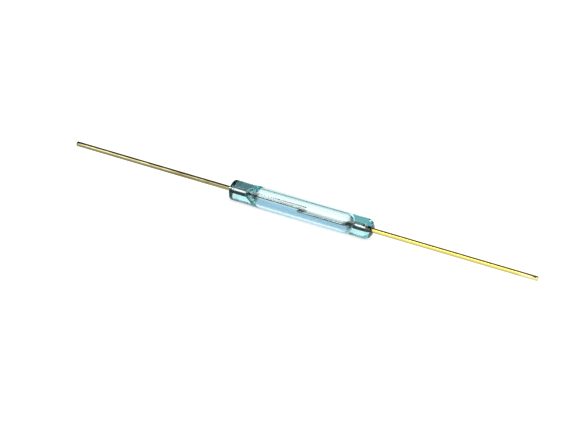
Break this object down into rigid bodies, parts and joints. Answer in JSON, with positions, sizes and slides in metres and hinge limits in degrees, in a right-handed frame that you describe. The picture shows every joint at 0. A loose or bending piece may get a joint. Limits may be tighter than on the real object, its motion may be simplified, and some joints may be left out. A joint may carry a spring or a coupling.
{
  "type": "glass reed switch",
  "caption": "Slim glass capsule with a wire lead at each end; flat reed blades overlap inside it with a small gap and close when a magnet comes near.",
  "frame": {"origin": "middle of the glass capsule, on its axis", "axes": "+X along the capsule towards the right lead, +Z square to the flat of the blades, towards the upper blade"},
  "size_m": [0.0466, 0.002, 0.002],
  "materials": {
    "glass": "fire-polished blue-green sealing glass",
    "plated_wire": "drawn nickel-iron wire with thin gold plating",
    "blade_metal": "pressed nickel-iron with bright contact plating"
  },
  "bodies": {
    "capsule": {"glass_capsule": "glass", "left_lead": "plated_wire", "right_lead": "plated_wire"},
    "left_blade": {"left_blade": "blade_metal"},
    "right_blade": {"right_blade": "blade_metal"}
  },
  "joints": [
    {"name": "left_blade_flex", "type": "hinge", "parent": "capsule", "child": "left_blade", "pos_m": [-0.0045, 0, 0.00014], "axis": [0, 1, 0], "range_deg": [0, 0.77], "stiffness_Nm_per_rad": 0.028},
    {"name": "right_blade_flex", "type": "hinge", "parent": "capsule", "child": "right_blade", "pos_m": [0.00435, 0, -0.00014], "axis": [0, 1, 0], "range_deg": [0, 0.77], "stiffness_Nm_per_rad": 0.028}
  ]
}
